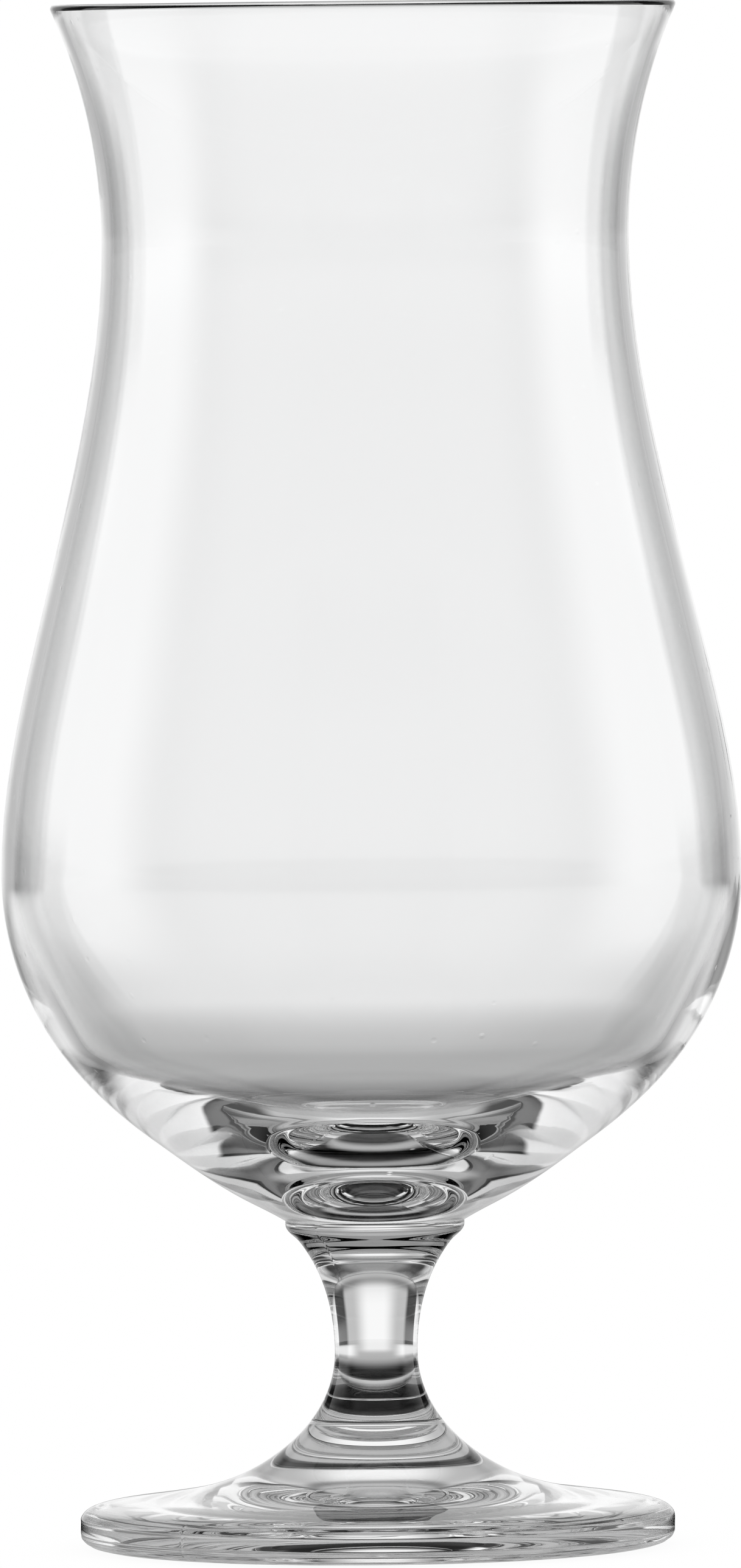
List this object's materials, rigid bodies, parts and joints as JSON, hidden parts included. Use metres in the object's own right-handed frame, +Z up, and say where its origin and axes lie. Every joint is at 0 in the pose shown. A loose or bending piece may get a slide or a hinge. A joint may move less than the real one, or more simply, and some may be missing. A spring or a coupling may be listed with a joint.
{
  "type": "hurricane glass",
  "caption": "Tall footed cocktail glass with a flared mouth, drawn-in waist and round lower bowl on a short solid stem and thick round foot, for long mixed drinks.",
  "frame": {"origin": "on the glass's axis, in the plane that the foot rests on", "axes": "+Z up along the axis, from the foot to the mouth; the glass is round, so +X and +Y are free, and the picture looks along +Y"},
  "size_m": [0.094, 0.094, 0.196],
  "materials": {
    "blown_glass": "clear, thin and fire-polished",
    "stem_glass": "clear, solid and fire-polished, with a faint mould seam",
    "foot_glass": "clear, thick and pressed, with faint flow marks and a mould seam"
  },
  "bodies": {
    "root": {"bowl": "blown_glass", "stem": "stem_glass", "foot": "foot_glass"}
  },
  "joints": []
}
